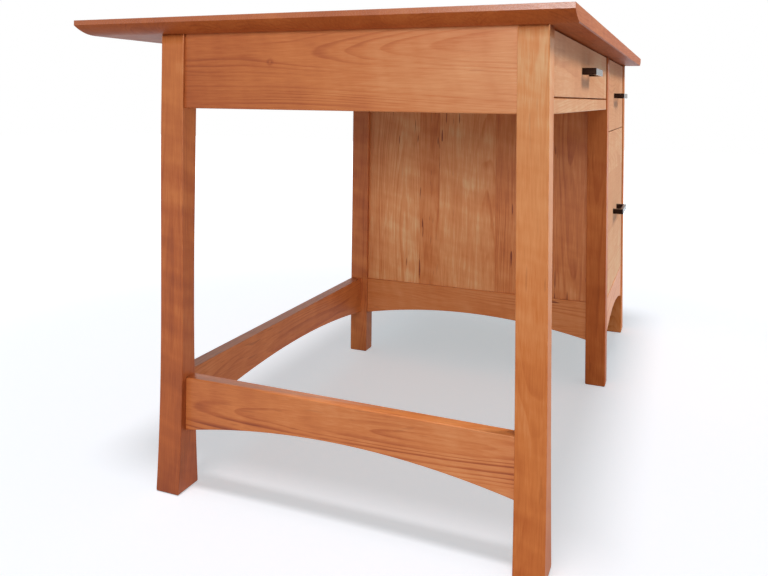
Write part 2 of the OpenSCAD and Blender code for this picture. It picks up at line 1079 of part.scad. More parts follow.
module file_drawer_pull() {
    pull(file_front);
}

module file_drawer_pull_screws() {
    pull_screws(file_front);
}

top();
front_left_leg();
back_left_leg();
front_middle_leg();
back_middle_leg();
front_right_leg();
back_right_leg();
left_apron();
back_apron();
drawer_rail();
left_stretcher();
back_stretcher();
pedestal_left_rail();
pedestal_right_rail();
pedestal_front_rail();
pedestal_back_rail();
pedestal_left_panel();
pedestal_right_panel();
pedestal_back_panel();
pedestal_floor();
divider_rail();
wide_drawer_left_runner();
wide_drawer_right_runner();
upper_drawer_left_runner();
upper_drawer_right_runner();
left_slide_block();
right_slide_block();
slide_case_members();
slide_middle_members();
slide_drawer_members();
slide_case_screws();
slide_drawer_screws();
runner_screws();
top_cleats();
top_screws();
wide_drawer_front();
wide_drawer_left_side();
wide_drawer_right_side();
wide_drawer_back();
wide_drawer_bottom();
wide_drawer_pull();
wide_drawer_pull_screws();
upper_drawer_front();
upper_drawer_left_side();
upper_drawer_right_side();
upper_drawer_back();
upper_drawer_bottom();
upper_drawer_pull();
upper_drawer_pull_screws();
file_drawer_front();
file_drawer_left_side();
file_drawer_right_side();
file_drawer_back();
file_drawer_bottom();
file_drawer_pull();
file_drawer_pull_screws();
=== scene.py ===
# %% [markdown]
# # Finishing a cherry study desk
# The joinery, the sizes and the moving drawers come from a fixed model of the desk. This lesson
# gives that model the looks of the real thing: eased edges, curved legs, oiled cherry with its
# growth rings, pale maple drawer boxes, dark bronze pulls and steel slides.

# %% Load the frame
import json
import math

import bmesh
import bpy
from mathutils import Matrix, Vector
from mathutils.bvhtree import BVHTree

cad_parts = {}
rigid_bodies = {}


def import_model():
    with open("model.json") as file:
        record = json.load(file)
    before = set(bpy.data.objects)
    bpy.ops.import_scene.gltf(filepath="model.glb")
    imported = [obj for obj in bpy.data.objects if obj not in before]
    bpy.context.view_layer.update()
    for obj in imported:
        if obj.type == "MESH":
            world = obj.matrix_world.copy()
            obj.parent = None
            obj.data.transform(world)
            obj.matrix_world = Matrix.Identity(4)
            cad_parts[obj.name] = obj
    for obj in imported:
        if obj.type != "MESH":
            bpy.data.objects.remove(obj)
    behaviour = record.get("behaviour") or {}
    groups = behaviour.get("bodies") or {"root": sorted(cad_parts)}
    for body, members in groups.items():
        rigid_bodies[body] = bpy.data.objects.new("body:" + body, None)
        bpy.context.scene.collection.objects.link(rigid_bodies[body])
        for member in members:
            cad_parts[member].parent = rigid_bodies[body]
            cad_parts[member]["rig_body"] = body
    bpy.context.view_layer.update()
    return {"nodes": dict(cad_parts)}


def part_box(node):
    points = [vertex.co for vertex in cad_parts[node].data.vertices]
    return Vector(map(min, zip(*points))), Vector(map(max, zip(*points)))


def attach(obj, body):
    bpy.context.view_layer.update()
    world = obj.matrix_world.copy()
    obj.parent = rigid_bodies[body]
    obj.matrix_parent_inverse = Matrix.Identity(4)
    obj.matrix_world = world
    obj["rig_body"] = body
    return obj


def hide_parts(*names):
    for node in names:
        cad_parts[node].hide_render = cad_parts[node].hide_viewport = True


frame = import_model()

# %% [markdown]
# ## The camera
# The desk is seen from its left end, from just below the height of the top. A photograph that is
# cropped from a larger one keeps its verticals upright, and a lens shift does the same here: the
# camera looks almost level, and the shift moves the picture down to the feet. The Standard view shows
# each colour as it is written in the materials.

# %% Set up the camera
PICTURE_W, PICTURE_H = 768, 576
CAMERA_AT = Vector((-1.6914, -0.5269, 0.6397))
YAW, PITCH, ROLL = (math.radians(angle) for angle in (23.416, 0.316, 0.646))
FOCAL_PIXELS = 781.74
CENTRE_PIXEL = (350.46, 93.57)
SENSOR = 36.0

level = Vector((math.cos(YAW), math.sin(YAW), 0))
right = Vector((math.sin(YAW), -math.cos(YAW), 0))
ahead = level * math.cos(PITCH) + Vector((0, 0, math.sin(PITCH)))
above = Vector((0, 0, math.cos(PITCH))) - level * math.sin(PITCH)
across = right * math.cos(ROLL) + above * math.sin(ROLL)
upward = above * math.cos(ROLL) - right * math.sin(ROLL)

lens = bpy.data.cameras.new("camera")
lens.sensor_width = SENSOR
lens.lens = FOCAL_PIXELS / PICTURE_W * SENSOR
lens.shift_x = ((PICTURE_W - 1) / 2 - CENTRE_PIXEL[0]) / PICTURE_W
lens.shift_y = (CENTRE_PIXEL[1] - (PICTURE_H - 1) / 2) / PICTURE_W
camera = bpy.data.objects.new("camera", lens)
camera.matrix_world = Matrix.Translation(CAMERA_AT) @ Matrix(
    (across, upward, -ahead)).transposed().to_4x4()
bpy.context.scene.collection.objects.link(camera)
bpy.context.scene.camera = camera
bpy.context.scene.view_settings.view_transform = "Standard"
print("lens", round(lens.lens, 2), "shift", round(lens.shift_x, 4), round(lens.shift_y, 4))

# %% [markdown]
# ## Small pens for node trees
# Every finish and every geometry tree below is written with the same few helpers. They add a node
# and wire or fill its inputs by name, do sums, make a smooth step, read a colour, open an empty
# material and fill a Color Ramp.

# %% Helpers for nodes
def add_node(tree, kind, inputs=None, **settings):
    made = tree.nodes.new(kind)
    for key, value in settings.items():
        setattr(made, key, value)
    for key, value in (inputs or {}).items():
        if isinstance(value, bpy.types.NodeSocket):
            tree.links.new(value, made.inputs[key])
        else:
            made.inputs[key].default_value = value
    return made


def sums(tree, operation, *values):
    inputs = dict(enumerate(values))
    return add_node(tree, "ShaderNodeMath", inputs, operation=operation).outputs[0]


def ease(tree, value, low, high, start=0.0, end=1.0):
    """A smooth step from start to end while the value goes from low to high."""
    made = add_node(tree, "ShaderNodeMapRange",
                    {"Value": value, "From Min": low, "From Max": high,
                     "To Min": start, "To Max": end},
                    interpolation_type="SMOOTHSTEP")
    return made.outputs[0]


def srgb(text):
    """A colour written as #RRGGBB, as the linear numbers that a shader takes."""
    parts = [int(text[i:i + 2], 16) / 255 for i in (1, 3, 5)]
    return tuple(c / 12.92 if c <= 0.04045 else ((c + 0.055) / 1.055) ** 2.4
                 for c in parts) + (1.0,)


def blank_material(name):
    """A new material and its empty node tree."""
    material = bpy.data.materials.new(name)
    material.use_nodes = True
    material.node_tree.nodes.clear()
    return material, material.node_tree


def fill_ramp(ramp, stops):
    """Gives a Color Ramp its stops, from pairs of a position and a colour."""
    elements = ramp.color_ramp.elements
    for number, (position, colour) in enumerate(stops):
        element = elements[number] if number < 2 else elements.new(position)
        element.position = position
        element.color = colour


print("a mid cherry in linear numbers", [round(c, 3) for c in srgb("#B8703F")])

# %% [markdown]
# ## The studio
# The desk stands on a seamless white sweep. Cameras and reflections see plain white, while the
# light that falls on the wood comes from a soft room light, three softboxes and a broad ceiling
# light. Light Path tells the two apart, so the background is white without pouring more light on the
# desk. The floor adds its own glow for the camera only. The lamps are warm and the wood throws warm
# light down, so the paper and its glow lean to blue, and the shadow reads as a neutral grey. The
# softboxes shine past the floor, which Light Linking makes possible, so that one plain soft shadow is
# left on it: that of the ceiling light. The low softbox gets its own pieces near the end.

# %% Build the room light
ROOM_LIGHT = 0.27
ROOM_COLOUR = (1.0, 0.985, 0.965, 1)
WHITE = (1, 1, 1, 1)


def seen_directly(tree):
    """1 for rays from the camera, mirrors and glass, and 0 for the light on a matt surface."""
    path = add_node(tree, "ShaderNodeLightPath")
    either = sums(tree, "MAXIMUM", path.outputs["Is Camera Ray"], path.outputs["Is Glossy Ray"])
    return sums(tree, "MAXIMUM", either, path.outputs["Is Transmission Ray"])


world = bpy.data.worlds.new("studio")
world.use_nodes = True
bpy.context.scene.world = world
tree = world.node_tree
tree.nodes.clear()
room = add_node(tree, "ShaderNodeBackground", {"Color": ROOM_COLOUR, "Strength": ROOM_LIGHT})
white = add_node(tree, "ShaderNodeBackground", {"Color": WHITE, "Strength": 1.0})
mixed = add_node(tree, "ShaderNodeMixShader", {0: seen_directly(tree), 1: room.outputs[0],
                                               2: white.outputs[0]})
add_node(tree, "ShaderNodeOutputWorld", {"Surface": mixed.outputs[0]})
print("room light", ROOM_LIGHT)

# %% Build the floor
FLOOR_HALF = 9.0
FLOOR_GLOW = 0.44
PAPER = (0.82, 0.81, 0.86, 1)
GLOW_TINT = (0.89, 1.0, 1.06, 1)
FADE_START, FADE_END = 1.0, 2.6

bpy.ops.mesh.primitive_plane_add(size=2 * FLOOR_HALF, location=(0, 0, 0))
floor = bpy.context.object
floor.name = "floor"
paper, tree = blank_material("white_sweep")
place = add_node(tree, "ShaderNodeTexCoord")
away = add_node(tree, "ShaderNodeVectorMath", {0: place.outputs["Object"]}, operation="LENGTH")
glow = ease(tree, away.outputs["Value"], FADE_START, FADE_END, FLOOR_GLOW, 1.0)
shown = sums(tree, "MULTIPLY", glow, seen_directly(tree))
matt = add_node(tree, "ShaderNodeBsdfDiffuse", {"Color": PAPER})
light = add_node(tree, "ShaderNodeEmission", {"Color": GLOW_TINT, "Strength": shown})
both = add_node(tree, "ShaderNodeAddShader", {0: matt.outputs[0], 1: light.outputs[0]})
add_node(tree, "ShaderNodeOutputMaterial", {"Surface": both.outputs[0]})
floor.data.materials.append(paper)
print("the floor's glow grows from", FLOOR_GLOW, "to 1 between", FADE_START, "and", FADE_END, "m")

# %% Hang the softboxes
AIM = Vector((-0.1, -0.2, 0.45))
WARM, MILD = (1.0, 0.97, 0.93), (1.0, 0.98, 0.96)


def softbox(name, at, size, power, colour):
    lamp = bpy.data.lights.new(name, "AREA")
    lamp.shape = "RECTANGLE"
    lamp.size, lamp.size_y = size
    lamp.energy = power
    lamp.color = colour
    holder = bpy.data.objects.new(name, lamp)
    holder.location = at
    holder.rotation_euler = (AIM - Vector(at)).to_track_quat("-Z", "Y").to_euler()
    bpy.context.scene.collection.objects.link(holder)
    return holder


key = softbox("key_softbox", at=(0.5, -3.1, 3.4), size=(0.9, 0.9), power=134, colour=WARM)
side = softbox("side_softbox", at=(-5.2, -0.35, 1.50), size=(1.8, 1.0), power=110, colour=MILD)
low = softbox("low_softbox", at=(0.3, -3.4, 0.55), size=(1.6, 0.6), power=40, colour=MILD)

past_floor = bpy.data.collections.new("past_the_floor")
past_floor.objects.link(floor)
past_floor.collection_objects[0].light_linking.link_state = "EXCLUDE"
for lamp in (key, side):
    lamp.light_linking.receiver_collection = past_floor

CEILING_LIGHT = 1.4
CEILING_LEAN = Vector((0.18, 0.005, -1.0))
CEILING_SPREAD = math.radians(12)
sky = bpy.data.lights.new("ceiling_light", "SUN")
sky.energy = CEILING_LIGHT
sky.angle = CEILING_SPREAD
ceiling = bpy.data.objects.new("ceiling_light", sky)
ceiling.rotation_euler = CEILING_LEAN.to_track_quat("-Z", "Y").to_euler()
bpy.context.scene.collection.objects.link(ceiling)

# %% [markdown]
# ## How wood is figured
# A board is a slice of a tree, and its figure is where the slice cuts the growth rings. So the
# pattern here is not painted on a face: it is a solid stack of rings round a pith line, and each
# piece is cut out of it. Long faces then show cathedral arches or straight lines, ends show arcs,
# and the pattern runs round every edge. One group holds the rings, the fibres, the fine streaks,
# the curl and the soft clouds that oiled cherry shows, and its short dark gum flecks. All but the
# rings and the curl are noises that are drawn out along the grain, so they stand in one table.

# %% List the noises of wood
# The scale along the grain, across it and in depth, then the detail, the roughness and the swirl.
# Bend and ripple move the rings, strong lets their lines come and go, and flecks are spots in patches.
NOISES = {
    "bend": ((1.6, 5, 5), 1.0),
    "ripple": ((9, 45, 45), 1.0),
    "strong": ((2.2, 24, 24), 1.0),
    "fibre": ((22, 420, 420), 2.0, 0.7),
    "streak": ((8, 110, 110), 2.0, 0.6, 0.5),
    "cloud": ((9, 22, 22), 2.0),
    "drift": ((1.2, 7, 7), 1.0),
    "spots": ((15, 170, 170), 1.0),
    "patches": ((3, 15, 15), 1.0),
}
# Curl crosses the grain at a slant.
CURL_STRETCH, CURL_SLANT = (30, 9, 9), (0.3, 0.25, 0.35)
# How far the rings bend and ripple, in metres.
BEND_SIZE, RIPPLE_SIZE = 0.05, 0.003
# Good and bad years: how quickly they change, and how many rings they shift.
YEAR_SCALE, YEAR_SHIFT = 0.35, 2.6
# Within a ring, where its dark line starts and where it is darkest.
LINE_START, LINE_DARKEST = 0.45, 0.9
# Between which values of its noise a ring's line, a gum spot or a patch of spots comes in.
STRONG_FROM, SPOTS_FROM, PATCHES_FROM = (0.36, 0.68), (0.655, 0.71), (0.51, 0.60)
print("noises", len(NOISES) + 1)

# %% Write the growth group
def stretched_noise(tree, place, stretch, detail=0.0, rough=0.5, swirl=0.0):
    """Noise with its own scale along the grain, across it and in depth."""
    vector = add_node(tree, "ShaderNodeVectorMath", {0: place, 1: stretch}, operation="MULTIPLY")
    noise = add_node(tree, "ShaderNodeTexNoise",
                     {"Vector": vector.outputs[0], "Scale": 1.0, "Detail": detail,
                      "Roughness": rough, "Distortion": swirl})
    return noise.outputs[0]


def centred(tree, value, amount):
    """Noise from 0 to 1 as a swing of the given size about 0."""
    return sums(tree, "MULTIPLY", sums(tree, "SUBTRACT", value, 0.5), amount)


def write_growth_group():
    tree = bpy.data.node_groups.new("growth", "ShaderNodeTree")
    face = tree.interface
    face.new_socket("Place", in_out="INPUT", socket_type="NodeSocketVector")
    face.new_socket("Ring", in_out="INPUT", socket_type="NodeSocketFloat")
    for name in ("Line", "Fibre", "Streak", "Curl", "Cloud", "Drift", "Fleck"):
        face.new_socket(name, in_out="OUTPUT", socket_type="NodeSocketFloat")
    given = add_node(tree, "NodeGroupInput")
    place = given.outputs["Place"]
    noise = {name: stretched_noise(tree, place, *row) for name, row in NOISES.items()}
    flat = add_node(tree, "ShaderNodeVectorMath", {0: place, 1: (0, 1, 1)}, operation="MULTIPLY")
    radius = add_node(tree, "ShaderNodeVectorMath", {0: flat.outputs[0]}, operation="LENGTH")
    bend = centred(tree, noise["bend"], BEND_SIZE)
    ripple = centred(tree, noise["ripple"], RIPPLE_SIZE)
    radius = sums(tree, "ADD", sums(tree, "ADD", radius.outputs["Value"], bend), ripple)
    years = sums(tree, "DIVIDE", radius, given.outputs["Ring"])
    uneven = add_node(tree, "ShaderNodeTexNoise", {"W": years, "Scale": YEAR_SCALE, "Detail": 1.0},
                      noise_dimensions="1D")
    years = sums(tree, "ADD", years, centred(tree, uneven.outputs[0], YEAR_SHIFT))
    part = sums(tree, "FRACT", years)
    line = sums(tree, "MULTIPLY", ease(tree, part, LINE_START, LINE_DARKEST),
                ease(tree, part, LINE_DARKEST, 1.0, 1.0, 0.0))
    line = sums(tree, "MULTIPLY", line, ease(tree, noise["strong"], *STRONG_FROM))
    slant = add_node(tree, "ShaderNodeMapping", {"Vector": place, "Rotation": CURL_SLANT})
    curl = stretched_noise(tree, slant.outputs[0], CURL_STRETCH, 2.5)
    fleck = sums(tree, "MULTIPLY", ease(tree, noise["spots"], *SPOTS_FROM),
                 ease(tree, noise["patches"], *PATCHES_FROM))
    add_node(tree, "NodeGroupOutput", {"Line": line, "Fibre": noise["fibre"],
                                       "Streak": noise["streak"], "Curl": curl,
                                       "Cloud": noise["cloud"], "Drift": noise["drift"],
                                       "Fleck": fleck})
    return tree


growth = write_growth_group()
print("growth group", len(growth.nodes), "nodes")

# %% [markdown]
# ## From growth to a finished board
# A piece says which way its grain runs, how deep under its face the pith lay and how far the pith
# line leaned, because a leaning pith is what turns straight lines into arches. A tone picks its
# place on a row of colours from sapwood to heartwood, and it can change along the piece: partly a
# real shift along the board, and partly painted shade, darker towards the end that gets less light.
# Panels and tops are glued up from several boards, so a ramp with hard steps gives every board its
# own middle, tone and tree. End grain drinks more oil, so it turns darker and its rings are quieter,
# and the shader finds it by the way a face looks. Faces that look down can be painted darker too,
# as painted shade on an underside. A rubbed front has a faint haze, or bloom, where it is seen at a
# slant: the shader's Sheen draws it, because more gloss would mirror the white room instead.

# %% Choose the colours and the amounts
CHERRY = ["#E0BA8C", "#D4905C", "#C2733D", "#A9592B", "#8A4220", "#642A14"]
MAPLE = ["#EAD6B4", "#E2C79F", "#D8B88B", "#CBA676", "#B98F5F", "#A3784B"]
GUM = "#6B2812"
AXES = "XYZ"
OIL_SHEEN = 0.30
BLOOM_TINT, BLOOM_ROUGH = (1.0, 0.97, 0.84, 1.0), 0.4
# Steps on the row of colours that every wood has.
FIBRE, CLOUD, DRIFT = 0.24, 0.16, 0.24
END_DARKER, PLY_DARKER, KNOT_DARKER = 0.06, 0.45, 0.15
# How straight a face looks along the grain before it counts as an end, and how quiet its rings get.
END_FROM, END_QUIET = (0.55, 0.9), 0.6
# How far a face looks down before it gets the painted shade of an underside.
PAINTED_SHADE_UNDERSIDE = (-0.5, 0.0)
# The seeds are places far apart in one tree: how far, for the pieces and for the boards of a panel.
SEED_STEP, BOARD_STEP, BOARD_DEPTH, BOARD_SEED = 1.7, 7.3, 0.05, 0.37
POLISH_SWING = 0.16
BUMP, BUMP_DEPTH, LINE_HEIGHT = 0.10, 0.0006, 0.6
print("cherry has", len(CHERRY), "colours and maple", len(MAPLE))

# %% Write the boards, the knot and the layers
KNOT_EYE, KNOT_RIM, KNOT_FADE = 0.35, 0.7, 1.9
LAYERS_FROM = (0.4, 0.6)


def board_steps(tree, across_place, joints, tones):
    """For a panel of glued boards: the middle, the tone and the seed of the board at a place."""
    low, high = joints[0], joints[-1]
    share = add_node(tree, "ShaderNodeMapRange",
                     {"Value": across_place, "From Min": low, "From Max": high})
    ramp = add_node(tree, "ShaderNodeValToRGB", {"Fac": share.outputs[0]})
    ramp.color_ramp.interpolation = "CONSTANT"
    stops = []
    for number, tone in enumerate(tones):
        start = (joints[number] - low) / (high - low)
        middle = ((joints[number] + joints[number + 1]) / 2 - low) / (high - low)
        stops.append((start, (middle, tone, (number * BOARD_SEED) % 1, 1)))
    fill_ramp(ramp, stops)
    apart = add_node(tree, "ShaderNodeSeparateColor", {"Color": ramp.outputs["Color"]})
    middle = add_node(tree, "ShaderNodeMapRange", {"Value": apart.outputs[0], "To Min": low,
                                                  "To Max": high})
    return middle.outputs[0], apart.outputs[1], apart.outputs[2]


def knot_ring(tree, place, at, radius):
    """A pin knot: a pale eye with a dark ring, at a point of the piece."""
    gap = add_node(tree, "ShaderNodeVectorMath", {0: place, 1: at}, operation="DISTANCE")
    share = sums(tree, "DIVIDE", gap.outputs["Value"], radius)
    rim = sums(tree, "MULTIPLY", ease(tree, share, KNOT_EYE, KNOT_RIM),
               ease(tree, share, KNOT_RIM, KNOT_FADE, 1.0, 0.0))
    return sums(tree, "MULTIPLY", rim, KNOT_DARKER)


def ply_stripes(tree, looks, depth, plies):
    """Every second layer of a sheet a little darker, on the sheet's edges only."""
    edge = ease(tree, sums(tree, "ABSOLUTE", looks), *LAYERS_FROM, 1.0, 0.0)
    layer = sums(tree, "FRACT", sums(tree, "DIVIDE", depth, 2 * plies))
    stripe = sums(tree, "MULTIPLY", sums(tree, "GREATER_THAN", layer, 0.5), edge)
    return sums(tree, "MULTIPLY", stripe, PLY_DARKER)


print("a knot's ring is darkest at", KNOT_RIM, "of its radius")

# %% Write the wood finish
def wood(name, lo, hi, colours, layout, tone, seed, pith=0.05, aside=0.0, lean=(0.0, 2.0),
         ring=0.0050, slope=0.0, figure=0.16, curl=0.20, streak=0.10, gum=0.35, below=0.0,
         joints=None, tones=None, knot=None, plies=None, rough=0.42, sheen=OIL_SHEEN, bloom=0.0):
    """A wood finish for the space between two corners.

    The layout names the axis along the grain, the one across it and the one in depth. The pith,
    aside, ring, joints and plies are in metres, and the lean is in degrees. The tone is a place
    from 0 to 1 on the row of colours, and slope, figure, curl, streak and below are steps on it.
    The slope is partly a real shift of tone along a board and partly painted shade; below is painted
    shade, a darker tone on faces that look down."""
    material, tree = blank_material(name)
    order = [AXES.index(letter) for letter in layout]
    middle = (lo + hi) / 2
    coords = add_node(tree, "ShaderNodeTexCoord")
    apart = add_node(tree, "ShaderNodeSeparateXYZ", {0: coords.outputs["Object"]})
    along, over, depth = (sums(tree, "SUBTRACT", apart.outputs[i], middle[i]) for i in order)
    run = (hi[order[0]] - lo[order[0]]) / 2
    # The tone changes along the piece: partly a real shift along the board, partly painted shade where
    # less light falls.
    shade = sums(tree, "ADD", sums(tree, "MULTIPLY", along, slope / run), tone)
    if joints:
        board_middle, board_tone, board_seed = board_steps(tree, apart.outputs[order[1]], joints, tones)
        over = sums(tree, "SUBTRACT", apart.outputs[order[1]], board_middle)
        along = sums(tree, "ADD", along, sums(tree, "MULTIPLY", board_seed, BOARD_STEP))
        depth = sums(tree, "ADD", depth, sums(tree, "MULTIPLY", board_seed, BOARD_DEPTH))
        shade = sums(tree, "ADD", sums(tree, "SUBTRACT", board_tone, 0.5), shade)
    turned = add_node(tree, "ShaderNodeCombineXYZ", {0: along, 1: over, 2: depth})
    place = add_node(tree, "ShaderNodeMapping",
                     {"Vector": turned.outputs[0], "Location": (seed * SEED_STEP, -aside, pith),
                      "Rotation": (0, math.radians(lean[1]), math.radians(lean[0]))})
    grown = add_node(tree, "ShaderNodeGroup", {}, node_tree=growth)
    tree.links.new(place.outputs[0], grown.inputs["Place"])
    grown.inputs["Ring"].default_value = ring
    grown = grown.outputs
    looks = add_node(tree, "ShaderNodeSeparateXYZ", {0: coords.outputs["Normal"]}).outputs
    ends = ease(tree, sums(tree, "ABSOLUTE", looks[order[0]]), *END_FROM)
    quiet = sums(tree, "SUBTRACT", 1.0, sums(tree, "MULTIPLY", ends, END_QUIET))
    steps = [centred(tree, grown["Line"], sums(tree, "MULTIPLY", quiet, figure))]
    for part, amount in (("Fibre", FIBRE), ("Streak", streak), ("Curl", curl), ("Cloud", CLOUD),
                         ("Drift", DRIFT)):
        steps.append(centred(tree, grown[part], amount))
    steps.append(sums(tree, "MULTIPLY", ends, END_DARKER))
    # Painted shade: faces that look down are made darker by the below amount.
    if below:
        steps.append(ease(tree, looks[2], *PAINTED_SHADE_UNDERSIDE, below, 0.0))
    if knot:
        steps.append(knot_ring(tree, coords.outputs["Object"], *knot))
    if plies:
        steps.append(ply_stripes(tree, looks[order[2]], apart.outputs[order[2]], plies))
    for step in steps:
        shade = sums(tree, "ADD", shade, step)
    ramp = add_node(tree, "ShaderNodeValToRGB", {"Fac": shade})
    fill_ramp(ramp, [(number / (len(colours) - 1), srgb(c)) for number, c in enumerate(colours)])
    flecks = sums(tree, "MULTIPLY", grown["Fleck"], gum)
    colour = add_node(tree, "ShaderNodeMix", {"Factor": flecks, 6: ramp.outputs[0],
                                              7: srgb(GUM)}, data_type="RGBA")
    height = sums(tree, "ADD", grown["Fibre"], sums(tree, "MULTIPLY", grown["Line"], LINE_HEIGHT))
    bump = add_node(tree, "ShaderNodeBump", {"Strength": BUMP, "Distance": BUMP_DEPTH,
                                           "Height": height})
    polish = sums(tree, "ADD", rough, centred(tree, grown["Fibre"], POLISH_SWING))
    shader = add_node(tree, "ShaderNodeBsdfPrincipled",
                      {"Base Color": colour.outputs[2], "Roughness": polish,
                       "Specular IOR Level": sheen, "Normal": bump.outputs[0],
                       "Sheen Weight": bloom, "Sheen Roughness": BLOOM_ROUGH,
                       "Sheen Tint": BLOOM_TINT})
    add_node(tree, "ShaderNodeOutputMaterial", {"Surface": shader.outputs[0]})
    return material


print("the oil's sheen is", OIL_SHEEN, "where a piece doesn't give its own")

# %% [markdown]
# ## Metals
# The pulls are dark bronze: a brown-black skin that still mirrors a softbox at a slant. The slides
# and screws are zinc-plated steel, rolled and slightly uneven. Both are a metal shader whose
# roughness wanders with fine noise, drawn out along the rolling direction on the steel.

# %% Write the metal finishes
def metal(name, colour, metallic, rough, stretch, swing, dark_share):
    """A metal finish whose roughness swings with fine noise, and whose colour has darker places."""
    material, tree = blank_material(name)
    coords = add_node(tree, "ShaderNodeTexCoord")
    grainy = stretched_noise(tree, coords.outputs["Object"], stretch, 2.0, 0.6)
    broad = stretched_noise(tree, coords.outputs["Object"], (40, 40, 40), 1.0)
    polish = sums(tree, "ADD", rough, centred(tree, grainy, swing))
    darker = tuple(c * dark_share for c in srgb(colour)[:3]) + (1.0,)
    tint = add_node(tree, "ShaderNodeMix", {"Factor": ease(tree, broad, 0.3, 0.7), 6: srgb(colour),
                                            7: darker}, data_type="RGBA")
    bump = add_node(tree, "ShaderNodeBump", {"Strength": 0.06, "Distance": 0.0002, "Height": grainy})
    shader = add_node(tree, "ShaderNodeBsdfPrincipled",
                      {"Base Color": tint.outputs[2], "Metallic": metallic, "Roughness": polish,
                       "Normal": bump.outputs[0]})
    add_node(tree, "ShaderNodeOutputMaterial", {"Surface": shader.outputs[0]})
    return material


bronze = metal("dark_bronze", "#2A1A13", metallic=0.92, rough=0.25, stretch=(900, 900, 900),
               swing=0.12, dark_share=0.7)
steel = metal("zinc_steel", "#B9BABC", metallic=1.0, rough=0.34, stretch=(900, 30, 900),
              swing=0.18, dark_share=0.88)
print("metals", bronze.name, steel.name)

# %% [markdown]
# ## Which edges a maker eases
# Sandpaper takes the sharp corner off every edge that a hand can reach, and leaves alone the
# shoulders, grooves and mortises that another piece covers. The same test is made here: three
# points are set just off an edge, and the edge is eased only where no other piece of the desk holds
# two of them or more. To see whether a closed piece holds a point, a ray is sent out and its
# crossings are counted: an odd number means inside.

# %% Test points against the pieces
trees = {name: BVHTree.FromPolygons([v.co for v in o.data.vertices],
                                    [p.vertices for p in o.data.polygons])
         for name, o in frame["nodes"].items()}
boxes = {name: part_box(name) for name in frame["nodes"]}
RAY = Vector((0.37, 0.61, 0.70)).normalized()
STEP_ON = 1e-5
JUST_OFF = 0.0007


def holds(name, point):
    lo, hi = boxes[name]
    if any(point[i] < lo[i] or point[i] > hi[i] for i in range(3)):
        return False
    crossings, start = 0, point
    while True:
        hit = trees[name].ray_cast(start, RAY)[0]
        if hit is None:
            return crossings % 2 == 1
        crossings += 1
        start = hit + RAY * STEP_ON


def in_the_open(node, edge):
    """Whether most of an edge of a node's copy is clear of every other piece."""
    faces = edge.link_faces
    out = (faces[0].normal + faces[1].normal).normalized() * JUST_OFF
    first, last = (v.co for v in edge.verts)
    free = 0
    for share in (0.25, 0.5, 0.75):
        point = first.lerp(last, share) + out
        free += not any(holds(name, point) for name in trees if name != node)
    return free >= 2


print("pieces to test against", len(trees))

# %% [markdown]
# ## Easing the edges
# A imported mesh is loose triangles, so a copy is merged first and its flat faces are joined again.
# The edges in the open get a bevel weight, and one Bevel modifier turns every weight into a small
# round. Hardened normals keep the broad faces flat right up to the round. The result is frozen into
# a plain mesh, which rides with its body and stands for the CAD node. A copy can have a second
# finish on the faces at its two ends.

# %% Write the easing tools
CORNER = math.radians(25)
FLAT = math.radians(0.03)
MERGE = 1e-5
END_FACE = 0.95


def freeze(obj, name):
    """Turns an object with live modifiers into a new plain one."""
    bpy.context.view_layer.update()
    evaluated = obj.evaluated_get(bpy.context.evaluated_depsgraph_get())
    mesh = bpy.data.meshes.new_from_object(evaluated)
    mesh.name = name
    bpy.data.objects.remove(obj)
    plain = bpy.data.objects.new(name, mesh)
    bpy.context.scene.collection.objects.link(plain)
    return plain


def soften(obj, width, steps):
    """A Bevel modifier that rounds each edge by its weight."""
    bevel = obj.modifiers.new("eased_edges", "BEVEL")
    bevel.width = width
    bevel.segments = steps
    bevel.limit_method = "WEIGHT"
    bevel.harden_normals = True
    bevel.miter_outer = "MITER_ARC"


def stand_for(piece, node):
    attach(piece, frame["nodes"][node]["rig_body"])
    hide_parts(node)


def eased_copy(node, name, material, width, steps=3, end_finish=None):
    """A merged copy of a CAD node that stands for it, with its open edges eased."""
    bm = bmesh.new()
    bm.from_mesh(frame["nodes"][node].data)
    bmesh.ops.remove_doubles(bm, verts=bm.verts, dist=MERGE)
    bmesh.ops.dissolve_limit(bm, angle_limit=FLAT, verts=bm.verts, edges=bm.edges,
                             use_dissolve_boundaries=False, delimit={"NORMAL"})
    bm.normal_update()
    weights = bm.edges.layers.float.new("bevel_weight_edge")
    eased = 0
    for edge in bm.edges:
        sharp = edge.is_manifold and edge.is_convex and edge.calc_face_angle() > CORNER
        if sharp and in_the_open(node, edge):
            edge[weights] = 1.0
            eased += 1
    for face in bm.faces:
        face.smooth = True
        if end_finish and abs(face.normal.x) > END_FACE:
            face.material_index = 1
    for edge in bm.edges:
        edge.smooth = not (edge.is_manifold and edge.calc_face_angle() > CORNER)
    mesh = bpy.data.meshes.new(name)
    bm.to_mesh(mesh)
    bm.free()
    mesh.materials.append(material)
    if end_finish:
        mesh.materials.append(end_finish)
    rough_piece = bpy.data.objects.new(name + "_rough", mesh)
    bpy.context.scene.collection.objects.link(rough_piece)
    soften(rough_piece, width, steps)
    piece = freeze(rough_piece, name)
    stand_for(piece, node)
    return piece, eased


print("edges are eased where faces meet at more than", round(math.degrees(CORNER)), "degrees")

# %% [markdown]
# ## The cherry pieces
# The maker chose the boards: the apron at the left end has a broad cathedral and a pin knot, the
# panels are glued from boards of different tones, and the drawer fronts are quiet. Each row below
# is one piece, with its layout, its tone and the lean and depth of its pith. The ends of the top are
# sanded finer than its faces and take a polish, so they get a second, burnished finish.

# %% Finish the rails, panels and fronts
HAZY = dict(sheen=0.0, bloom=0.5, gum=0)
HIDDEN_PANEL = dict(pith=0.05, lean=(0.6, 1.8), streak=0.26, gum=0.7, figure=0.12)
